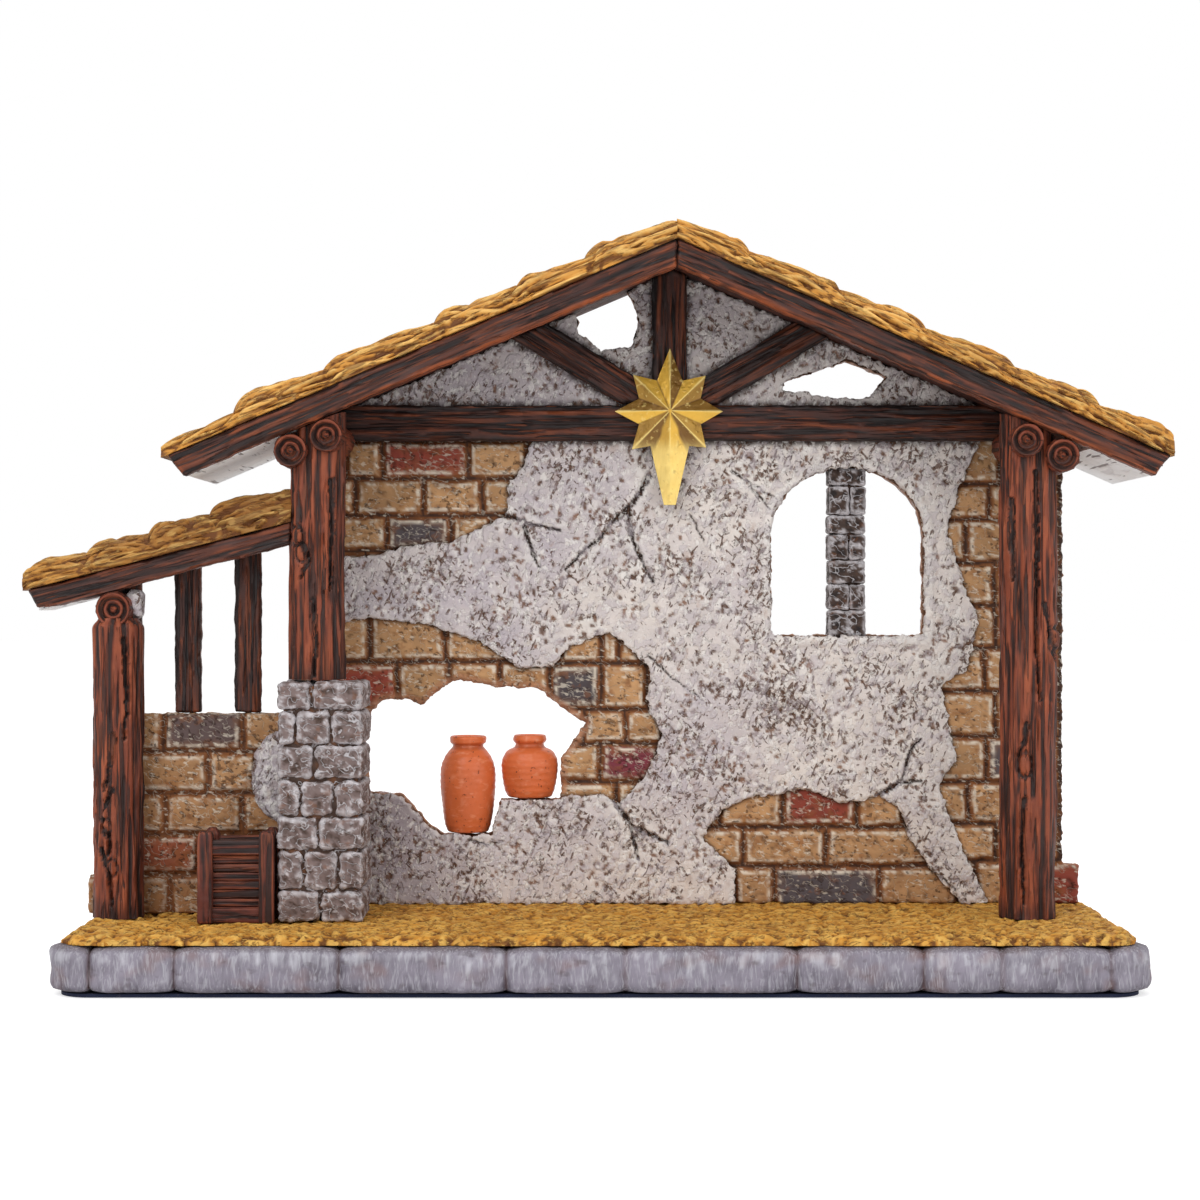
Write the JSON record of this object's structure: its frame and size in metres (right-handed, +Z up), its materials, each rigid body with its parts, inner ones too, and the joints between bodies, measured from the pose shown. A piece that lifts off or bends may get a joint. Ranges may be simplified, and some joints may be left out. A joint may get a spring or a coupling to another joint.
{
  "type": "nativity stable",
  "caption": "Ruined stable for nativity figures: a stage on a stone plinth with a broken brick wall, timber frame, thatched roof, gold star and lean-to.",
  "frame": {"origin": "centre of the flat underside", "axes": "+X to the right seen from the open front, +Y to the back wall, +Z up"},
  "size_m": [0.3533, 0.103, 0.2331],
  "materials": {
    "foam": "matte dark blue foam sheet",
    "stone": "painted grey stone with dry-brushed pale edges",
    "straw": "resin moulded as straw, ochre",
    "brick": "painted tan, red and grey bricks with brown joints",
    "plaster": "painted off-white plaster, pitted and scratched",
    "dark_wood": "resin moulded as dark timber with orange-brown grain",
    "post_wood": "resin moulded as hewn timber, red-brown with dark cracks",
    "thatch": "resin moulded as thatch, ochre with pale tips",
    "gold": "metallic gold paint",
    "terracotta": "terracotta paint",
    "box_wood": "resin moulded as planks, dark red-brown"
  },
  "bodies": {
    "root": {"base_pad": "foam", "base_plinth": "stone", "straw_ground": "straw", "brick_wall": "brick", "plaster_coat": "plaster", "window_mullion": "stone", "low_wall": "brick", "plaster_patch": "plaster", "stone_pier": "stone", "left_post": "post_wood", "right_post": "post_wood", "corner_post": "post_wood", "tie_beam": "dark_wood", "king_post": "dark_wood", "brace_left": "dark_wood", "brace_right": "dark_wood", "slat_1": "dark_wood", "slat_2": "dark_wood", "slat_3": "dark_wood", "purlin_outer_left": "post_wood", "purlin_inner_left": "post_wood", "purlin_inner_right": "post_wood", "purlin_outer_right": "post_wood", "lean_to_purlin": "post_wood", "rafter_left": "dark_wood", "rafter_right": "dark_wood", "lean_to_rafter": "dark_wood", "roof_deck_left": "dark_wood", "roof_deck_right": "dark_wood", "lean_to_deck": "dark_wood", "eave_left": "plaster", "eave_right": "plaster", "lean_to_eave": "plaster", "thatch_left": "thatch", "thatch_right": "thatch", "lean_to_thatch": "thatch", "star": "gold", "tall_jar": "terracotta", "round_jar": "terracotta", "feed_box_body": "box_wood", "feed_box_post_front_left": "box_wood", "feed_box_post_front_right": "box_wood", "feed_box_post_rear_left": "box_wood", "feed_box_post_rear_right": "box_wood"}
  },
  "joints": []
}
